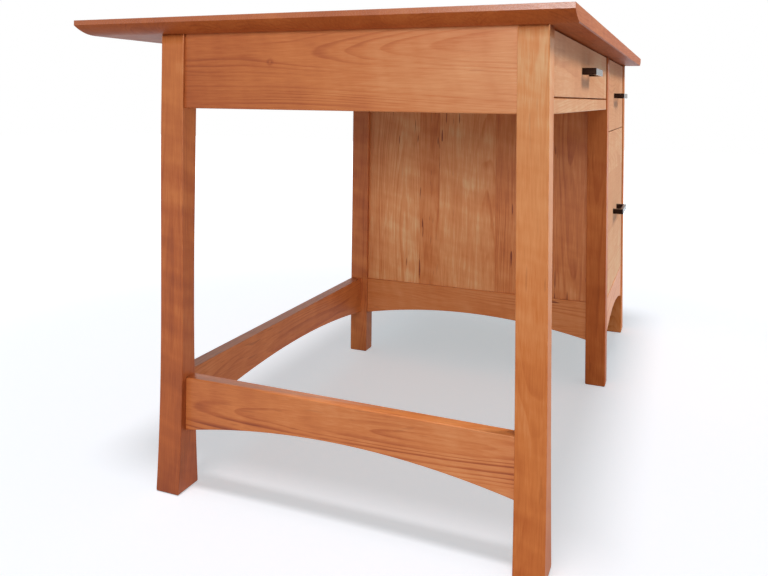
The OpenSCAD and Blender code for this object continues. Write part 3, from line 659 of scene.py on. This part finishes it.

# A row that changes its tone along the piece is darker towards one end: partly a real shift along the
# board, partly painted shade where less light falls.
CHERRY_PIECES = {
    "left_apron": dict(layout="YZX", tone=0.49, slope=0.20, seed=3.085, pith=0.0456, aside=0.034,
                       lean=(0.5, -2.0), gum=0.15),
    "back_apron": dict(layout="XZY", tone=0.44, seed=5, pith=0.05, lean=(0.5, 1.6)),
    "drawer_rail": dict(HAZY, layout="XYZ", tone=0.26, seed=7, pith=0.07),
    "left_stretcher": dict(layout="YZX", tone=0.60, slope=0.11, seed=11.3, pith=0.024, aside=0.012,
                           lean=(2.5, -4.5), sheen=0.36, figure=0.40, ring=0.0065, gum=0.2),
    "back_stretcher": dict(layout="XZY", tone=0.52, seed=13, pith=0.045),
    "pedestal_left_rail": dict(layout="YZX", tone=0.43, seed=17, pith=0.04, gum=0.9),
    "pedestal_right_rail": dict(layout="YZX", tone=0.45, seed=19, pith=0.04),
    "pedestal_front_rail": dict(layout="XZY", tone=0.35, seed=23, pith=0.05),
    "pedestal_back_rail": dict(layout="XZY", tone=0.45, seed=29, pith=0.05),
    "wide_drawer_front": dict(HAZY, layout="XZY", tone=0.26, seed=31, pith=0.06, lean=(0.3, 1.2)),
    "upper_drawer_front": dict(HAZY, layout="XZY", tone=0.275, seed=37, pith=0.05, lean=(0.3, 2.2)),
    "file_drawer_front": dict(HAZY, layout="XZY", tone=0.265, seed=41, pith=0.05, lean=(0.3, 1.8),
                              joints=(0.186, 0.33, 0.47, 0.568), tones=(0.48, 0.54, 0.47)),
    "pedestal_left_panel": dict(layout="ZYX", tone=0.36, seed=43, pith=0.05, lean=(0.6, 1.6),
                                streak=0.40, gum=0.95, curl=0.32,
                                joints=(-0.33, -0.242, -0.107, 0.031, 0.083, 0.24),
                                tones=(0.61, 0.60, 0.46, 0.58, 0.46)),
    "pedestal_right_panel": dict(HIDDEN_PANEL, layout="ZYX", tone=0.42, seed=47,
                                 joints=(-0.33, -0.19, -0.06, 0.09, 0.24),
                                 tones=(0.46, 0.55, 0.49, 0.58)),
    "pedestal_back_panel": dict(HIDDEN_PANEL, layout="ZXY", tone=0.43, seed=53,
                                joints=(0.17, 0.29, 0.40, 0.52, 0.62),
                                tones=(0.52, 0.47, 0.55, 0.49)),
    # The top's faces that look down are painted darker as shade on its underside, and its tone darkens
    # towards the far end, partly as painted shade.
    "top": dict(layout="XYZ", tone=0.55, slope=0.06, below=0.10, gum=0.2, seed=59, pith=0.12,
                lean=(0.5, 1.4), sheen=0.03, figure=0.09,
                joints=(-0.40, -0.27, -0.14, 0.0, 0.13, 0.26, 0.40),
                tones=(0.55, 0.55, 0.56, 0.51, 0.55, 0.60)),
}
KNOTS = {"left_apron": ((-0.643, 0.063, 0.694), 0.0042)}
BURNISHED = {"top": dict(sheen=0.62, rough=0.27)}
EDGE_EASE, FRONT_EASE = 0.0015, 0.0009

for node, row in CHERRY_PIECES.items():
    width = FRONT_EASE if node.endswith("front") else EDGE_EASE
    finish = wood("cherry_" + node, *boxes[node], CHERRY, knot=KNOTS.get(node), **row)
    end_finish = None
    if node in BURNISHED:
        polished = {**row, **BURNISHED[node]}
        end_finish = wood("cherry_" + node + "_ends", *boxes[node], CHERRY, **polished)
    piece, eased = eased_copy(node, node + "_cherry", finish, width, end_finish=end_finish)
    print(node, "eased", eased, "edges,", len(piece.data.polygons), "faces")

# %% [markdown]
# ## The legs
# A corner leg is sawn from one stick. Its outer face is hollowed a little below the apron, and its
# inner face sweeps out to a broader foot. The shape follows two formulas of the height, so it is
# made with Geometry Nodes: a block with many rows is bent by the formulas. The middle legs are the
# same tree with no hollow and no flare. The tree also writes the bevel weights, so that the long
# edges get a small round and the foot a larger chamfer.

# %% Write the leg tree
def geometry_tree(name, sizes):
    """A new geometry tree with named inputs, and the node that gives them."""
    tree = bpy.data.node_groups.new(name, "GeometryNodeTree")
    tree.interface.new_socket("Geometry", in_out="INPUT", socket_type="NodeSocketGeometry")
    for title, kind in sizes:
        tree.interface.new_socket(title, in_out="INPUT", socket_type=kind)
    tree.interface.new_socket("Geometry", in_out="OUTPUT", socket_type="NodeSocketGeometry")
    return tree, add_node(tree, "NodeGroupInput")


def use_tree(obj, tree, values):
    """Adds the tree to an object, with its inputs set by the sockets' identifiers."""
    modifier = obj.modifiers.new(tree.name, "NODES")
    modifier.node_group = tree
    for item in tree.interface.items_tree:
        if item.in_out == "INPUT" and item.name in values:
            modifier[item.identifier] = values[item.name]


LEG_SIZES = ["Outer face", "Way", "Width", "Hollow", "Flare", "Flare height", "Apron height",
             "Front", "Depth", "Height"]
HOLLOW_PEAK = 27 / 4
FOOT_WEIGHT, ARRIS_WEIGHT = 1.0, 0.5
LEG_ROWS = 41
UPRIGHT_RISE, FOOT_LEVEL = 0.25 / LEG_ROWS, -0.499


def write_leg_tree():
    tree, given = geometry_tree("leg", [(s, "NodeSocketFloat") for s in LEG_SIZES]
                                + [("Wood", "NodeSocketMaterial")])
    size = given.outputs
    block = add_node(tree, "GeometryNodeMeshCube", {"Size": (1, 1, 1), "Vertices X": 2,
                                                    "Vertices Y": 2, "Vertices Z": LEG_ROWS})
    ends = add_node(tree, "GeometryNodeInputMeshEdgeVertices")
    first = add_node(tree, "ShaderNodeSeparateXYZ", {0: ends.outputs["Position 1"]}).outputs
    last = add_node(tree, "ShaderNodeSeparateXYZ", {0: ends.outputs["Position 2"]}).outputs
    rise = sums(tree, "ABSOLUTE", sums(tree, "SUBTRACT", first[2], last[2]))
    upright = sums(tree, "GREATER_THAN", rise, UPRIGHT_RISE)
    lowest = sums(tree, "LESS_THAN", sums(tree, "MAXIMUM", first[2], last[2]), FOOT_LEVEL)
    weight = sums(tree, "ADD", sums(tree, "MULTIPLY", upright, ARRIS_WEIGHT),
                  sums(tree, "MULTIPLY", lowest, FOOT_WEIGHT))
    marked = add_node(tree, "GeometryNodeStoreNamedAttribute",
                      {"Geometry": block.outputs["Mesh"], "Name": "bevel_weight_edge",
                       "Value": weight}, data_type="FLOAT", domain="EDGE")
    place = add_node(tree, "ShaderNodeSeparateXYZ",
                     {0: add_node(tree, "GeometryNodeInputPosition").outputs[0]}).outputs
    height = sums(tree, "MULTIPLY", sums(tree, "ADD", place[2], 0.5), size["Height"])
    part = sums(tree, "MINIMUM", sums(tree, "DIVIDE", height, size["Apron height"]), 1.0)
    rest = sums(tree, "SUBTRACT", 1.0, part)
    hollow = sums(tree, "MULTIPLY", sums(tree, "MULTIPLY", part, sums(tree, "MULTIPLY", rest, rest)),
                  sums(tree, "MULTIPLY", size["Hollow"], HOLLOW_PEAK))
    below = sums(tree, "MAXIMUM", sums(tree, "SUBTRACT", 1.0, sums(
        tree, "DIVIDE", height, size["Flare height"])), 0.0)
    flare = sums(tree, "MULTIPLY", size["Flare"], sums(tree, "MULTIPLY", below, below))
    inner = sums(tree, "ADD", size["Width"], flare)
    share = sums(tree, "ADD", 0.5, sums(tree, "MULTIPLY", size["Way"], place[0]))
    reach = sums(tree, "ADD", hollow, sums(tree, "MULTIPLY", share,
                                           sums(tree, "SUBTRACT", inner, hollow)))
    x = sums(tree, "ADD", size["Outer face"], sums(tree, "MULTIPLY", size["Way"], reach))
    y = sums(tree, "ADD", size["Front"], sums(tree, "MULTIPLY", size["Depth"],
                                              sums(tree, "ADD", place[1], 0.5)))
    bent = add_node(tree, "ShaderNodeCombineXYZ", {0: x, 1: y, 2: height})
    shaped = add_node(tree, "GeometryNodeSetPosition", {"Geometry": marked.outputs[0],
                                                        "Position": bent.outputs[0]})
    smooth = add_node(tree, "GeometryNodeSetShadeSmooth", {"Geometry": shaped.outputs[0]})
    real = add_node(tree, "GeometryNodeRealizeInstances", {"Geometry": smooth.outputs[0]})
    dressed = add_node(tree, "GeometryNodeSetMaterial", {"Geometry": real.outputs[0],
                                                         "Material": size["Wood"]})
    add_node(tree, "NodeGroupOutput", {"Geometry": dressed.outputs[0]})
    return tree


leg_tree = write_leg_tree()
print("leg tree", len(leg_tree.nodes), "nodes")

# %% Shape the six legs
LEG_W = 0.038
LEG_HOLLOW = 0.007
LEFT_FLARE_HEIGHT = 0.400
FOOT_CHAMFER = 0.003
apron_height = boxes["left_apron"][0].z
rail_height = boxes["left_stretcher"][1].z

LEG_WOOD = dict(layout="ZYX", ring=0.0045, figure=0.12)
# Most legs turn darker towards the foot along their tone: partly a real shift along the stick, partly
# painted shade where less light reaches.
LEGS = {
    "front_left_leg": dict(way=1, tone=0.365, slope=-0.19, sheen=0.08, curl=0.30, gum=0.2, seed=2,
                           pith=0.12, streak=0.04, lean=(0.4, 0.8), figure=0.07),
    "back_left_leg": dict(way=1, tone=0.62, slope=-0.22, curl=0.42, seed=4, pith=0.05,
                          lean=(0.3, 1.5)),
    "front_middle_leg": dict(way=0, tone=0.55, sheen=0.07, slope=-0.06, seed=6, pith=0.07,
                             lean=(0.4, 1.0)),
    "back_middle_leg": dict(way=0, tone=0.60, slope=0.06, seed=8, pith=0.06, curl=0.40,
                            lean=(0.4, 1.4)),
    "front_right_leg": dict(way=-1, tone=0.42, seed=10, pith=0.06, sheen=0.02, lean=(0.4, 1.2)),
    "back_right_leg": dict(way=-1, tone=0.48, seed=12, pith=0.05, lean=(0.4, 1.1)),
}


def shape_leg(node, way, **row):
    """One leg from the tree: its outer face looks to -X where way is 1, and it is straight at 0."""
    lo, hi = boxes[node]
    finish = wood("cherry_" + node, lo, hi, CHERRY, **{**LEG_WOOD, **row})
    curved = way != 0
    host = bpy.data.objects.new(node + "_rough", bpy.data.meshes.new(node + "_rough"))
    bpy.context.scene.collection.objects.link(host)
    use_tree(host, leg_tree, {
        "Outer face": hi.x if way < 0 else lo.x,
        "Way": float(way if curved else 1),
        "Width": LEG_W,
        "Hollow": LEG_HOLLOW if curved else 0.0,
        "Flare": hi.x - lo.x - LEG_W if curved else 0.0,
        "Flare height": LEFT_FLARE_HEIGHT if way > 0 else rail_height,
        "Apron height": apron_height,
        "Front": lo.y,
        "Depth": hi.y - lo.y,
        "Height": hi.z,
        "Wood": finish,
    })
    soften(host, FOOT_CHAMFER, 3)
    piece = freeze(host, node + "_cherry")
    stand_for(piece, node)
    return piece


for node, row in LEGS.items():
    leg = shape_leg(node, **row)
    print(node, len(leg.data.polygons), "faces")

# %% [markdown]
# ## The drawer boxes, runners and cleats
# What slides or hides is made of maple, which wears well and stays pale, and the drawer bottoms
# and the pedestal floor are plywood, which doesn't swell. Maple has the same growth as cherry with
# fainter lines. Plywood shows its layers on the edges, so its finish adds stripes there.

# %% Finish the maple and plywood pieces
PLY = 0.0012
MAPLE_TONE, MAPLE_STEP = 0.36, 0.03
MAPLE_LAYOUT = {"side": "YZX", "back": "XZY", "runner": "YZX", "block": "YZX", "rail": "XZY",
                "cleats": "YXZ"}
maple_nodes = [n for n in frame["nodes"] if "runner" in n and "screws" not in n
               or n.endswith(("_side", "_drawer_back", "slide_block", "cleats"))
               or n == "divider_rail"]
for number, node in enumerate(sorted(maple_nodes)):
    layout = MAPLE_LAYOUT[node.split("_")[-1]]
    tone = MAPLE_TONE + MAPLE_STEP * (number % 4)
    finish = wood("maple_" + node, *boxes[node], MAPLE, layout, tone, seed=61 + number, pith=0.06,
                  rough=0.46)
    eased_copy(node, node + "_maple", finish, width=0.0010, steps=2)
print("maple pieces", len(maple_nodes))

ply_nodes = [n for n in frame["nodes"] if n.endswith("_bottom") or n == "pedestal_floor"]
for number, node in enumerate(sorted(ply_nodes)):
    finish = wood("plywood_" + node, *boxes[node], MAPLE, "XYZ", 0.46, seed=91 + number, pith=0.09,
                  ring=0.012, figure=0.22, plies=PLY, rough=0.5)
    eased_copy(node, node + "_plywood", finish, width=0.0004, steps=1)
print("plywood pieces", len(ply_nodes))

# %% [markdown]
# ## The pulls
# A pull is a flat bar on two short posts. It is cast in one piece, so every edge is a little round,
# and the bevel is what draws the bright line along it.

# %% Finish the pulls
for node in (n for n in list(frame["nodes"]) if n.endswith("_pull")):
    piece, eased = eased_copy(node, node + "_bronze", bronze, width=0.0012, steps=3)
    print(node, "eased", eased, "edges")

# %% [markdown]
# ## The steel slides
# The slides keep their CAD shape, because a rolled channel is already a set of thin flat walls.
# They only get the steel finish.

# %% Finish the slides
for node in ("slide_case_members", "slide_middle_members", "slide_drawer_members"):
    slots = frame["nodes"][node].material_slots
    if not slots:
        frame["nodes"][node].data.materials.append(steel)
    for slot in slots:
        slot.material = steel
    print(node, len(slots), "slots")

# %% [markdown]
# ## The screws
# The screws in the model are plain pins with plain heads. A real one has a domed head with a
# cross recess, and no two are turned alike. One screw of each size is turned on a lathe in mesh code,
# and Geometry Nodes set it on every point, turned by a fixed seed. The points and the ways that the
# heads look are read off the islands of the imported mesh.

# %% Write the screw tree
QUARTER_TURN = math.pi / 2


def write_screw_tree():
    tree, given = geometry_tree("screws", [("Screw", "NodeSocketObject"), ("Seed", "NodeSocketInt"),
                                           ("Metal", "NodeSocketMaterial")])
    pattern = add_node(tree, "GeometryNodeObjectInfo", {"Object": given.outputs["Screw"]})
    way = add_node(tree, "GeometryNodeInputNamedAttribute", {"Name": "way"},
                   data_type="FLOAT_VECTOR")
    facing = add_node(tree, "FunctionNodeAlignRotationToVector",
                      {"Vector": way.outputs[0]}, axis="Z")
    spin = add_node(tree, "FunctionNodeRandomValue", {"Seed": given.outputs["Seed"]},
                    data_type="FLOAT")
    most = next(s for s in spin.inputs if s.name == "Max" and s.type == "VALUE")
    most.default_value = QUARTER_TURN
    turned = next(o for o in spin.outputs if o.type == "VALUE")
    about = add_node(tree, "FunctionNodeAxisAngleToRotation", {"Axis": (0, 0, 1), "Angle": turned})
    rotation = add_node(tree, "FunctionNodeRotateRotation",
                        {"Rotation": facing.outputs[0], "Rotate By": about.outputs[0]},
                        rotation_space="LOCAL")
    placed = add_node(tree, "GeometryNodeInstanceOnPoints",
                      {"Points": given.outputs["Geometry"],
                       "Instance": pattern.outputs["Geometry"], "Rotation": rotation.outputs[0]})
    real = add_node(tree, "GeometryNodeRealizeInstances", {"Geometry": placed.outputs[0]})
    dressed = add_node(tree, "GeometryNodeSetMaterial", {"Geometry": real.outputs[0],
                                                         "Material": given.outputs["Metal"]})
    add_node(tree, "NodeGroupOutput", {"Geometry": dressed.outputs[0]})
    return tree


screw_tree = write_screw_tree()
print("screw tree", len(screw_tree.nodes), "nodes")

# %% Turn one screw on the lathe
SCREW_SIDES = 20
DOME = 0.3
# The cross recess, as shares of the head: its arms, their width, its depth and its narrow floor.
RECESS_ARM, RECESS_BAR, RECESS_DEEP, RECESS_FLOOR = 0.62, 0.14, 0.55, 0.55


def lathe(profile, sides):
    """A closed solid turned round Z from a profile of (radius, height) points."""
    bm = bmesh.new()
    rings = []
    for radius, height in profile:
        if radius == 0:
            rings.append([bm.verts.new((0, 0, height))])
        else:
            rings.append([bm.verts.new((radius * math.cos(2 * math.pi * i / sides),
                                        radius * math.sin(2 * math.pi * i / sides), height))
                          for i in range(sides)])
    for below, over in zip(rings, rings[1:]):
        for i in range(sides):
            j = (i + 1) % sides
            loop = [below[i % len(below)], below[j % len(below)],
                    over[j % len(over)], over[i % len(over)]]
            bm.faces.new(list(dict.fromkeys(loop)))
    bmesh.ops.recalc_face_normals(bm, faces=bm.faces)
    return bm


def turn_screw(name, head_d, head_t, shank_d, length):
    """A screw with its head's top at the origin, its shank down -Z and a cross recess."""
    head, shank, dome = head_d / 2, shank_d / 2, head_t * DOME
    bm = lathe([(0, -length), (shank * 0.25, -length), (shank, -length + shank * 2), (shank, -head_t),
                (head * 0.94, -head_t), (head, -head_t * 0.85), (head, -dome * 1.4),
                (head * 0.9, -dome * 0.6), (head * 0.6, -dome * 0.12), (0, 0)], SCREW_SIDES)
    mesh = bpy.data.meshes.new(name)
    bm.to_mesh(mesh)
    bm.free()
    screw = bpy.data.objects.new(name, mesh)
    cutter_bm = bmesh.new()
    arm, bar, deep = head * RECESS_ARM, head * RECESS_BAR, head_t * RECESS_DEEP
    for size in ((arm, bar), (bar, arm)):
        made = bmesh.ops.create_cube(cutter_bm, size=2)
        for v in made["verts"]:
            taper = 1.0 if v.co.z > 0 else RECESS_FLOOR
            v.co = Vector((v.co.x * size[0] * taper, v.co.y * size[1] * taper,
                           head_t * 0.5 if v.co.z > 0 else -deep))
    cutter_mesh = bpy.data.meshes.new(name + "_cutter")
    cutter_bm.to_mesh(cutter_mesh)
    cutter_bm.free()
    cutter = bpy.data.objects.new(name + "_cutter", cutter_mesh)
    for obj in (screw, cutter):
        bpy.context.scene.collection.objects.link(obj)
    cut = screw.modifiers.new("recess", "BOOLEAN")
    cut.object, cut.operation, cut.solver = cutter, "DIFFERENCE", "EXACT"
    cut.use_self = True
    screw = freeze(screw, name)
    bpy.data.objects.remove(cutter)
    return screw


print("a screw is turned with", SCREW_SIDES, "sides")

# %% Set the screws
def screw_places(node):
    """The top of each head, the way it looks and the sizes of one screw, from a node's islands."""
    bm = bmesh.new()
    bm.from_mesh(frame["nodes"][node].data)
    bmesh.ops.remove_doubles(bm, verts=bm.verts, dist=MERGE)
    left, places, size = set(bm.verts), [], None
    while left:
        island, fresh = set(), {left.pop()}
        while fresh:
            island |= fresh
            fresh = {e.other_vert(v) for v in fresh for e in v.link_edges} - island
        left -= island
        points = [v.co for v in island]
        lo = Vector(min(p[i] for p in points) for i in range(3))
        hi = Vector(max(p[i] for p in points) for i in range(3))
        axis = max(range(3), key=lambda i: hi[i] - lo[i])
        middle = (lo + hi) / 2
        radii = {}
        for p in points:
            off = p - middle
            off[axis] = 0
            radii[round(p[axis], 6)] = max(off.length, radii.get(round(p[axis], 6), 0))
        ends = {1: radii[round(hi[axis], 6)], -1: radii[round(lo[axis], 6)]}
        way = 1 if ends[1] > ends[-1] else -1
        tip = middle.copy()
        tip[axis] = hi[axis] if way > 0 else lo[axis]
        looks = Vector((0, 0, 0))
        looks[axis] = way
        wide = [h for h, r in radii.items() if r > 0.9 * ends[way]]
        size = (2 * ends[way], max(wide) - min(wide), 2 * ends[-way], hi[axis] - lo[axis])
        places.append((tip, looks))
    bm.free()
    return places, size


def set_screws(node, seed):
    places, size = screw_places(node)
    pattern = turn_screw(node + "_pattern", *size)
    mesh = bpy.data.meshes.new(node + "_points")
    mesh.from_pydata([p[0] for p in places], [], [])
    ways = mesh.attributes.new("way", "FLOAT_VECTOR", "POINT")
    for item, (_, looks) in zip(ways.data, places):
        item.vector = looks
    host = bpy.data.objects.new(node + "_rough", mesh)
    bpy.context.scene.collection.objects.link(host)
    use_tree(host, screw_tree, {"Screw": pattern, "Seed": seed, "Metal": steel})
    piece = freeze(host, node + "_steel")
    bpy.data.objects.remove(pattern)
    stand_for(piece, node)
    return len(places), size


for seed, node in enumerate(n for n in sorted(frame["nodes"]) if n.endswith("screws")):
    count, size = set_screws(node, seed)
    print(node, count, "screws, sizes in mm", [round(s * 1000, 1) for s in size])

# %% [markdown]
# ## A low light for the back
# The drawers keep the high softbox off the pieces at the back of the knee space. A low one shines in
# under the drawer rail, and Light Linking lets it reach those pieces and nothing else, so the fronts
# keep the shadow of the top.

# %% Let the low softbox reach the back pieces only
BACK_PIECES = ("back_left_leg", "back_stretcher", "left_stretcher", "back_middle_leg")

reached = bpy.data.collections.new("reached_by_the_low_softbox")
for node in BACK_PIECES:
    reached.objects.link(bpy.data.objects[node + "_cherry"])
low.light_linking.receiver_collection = reached
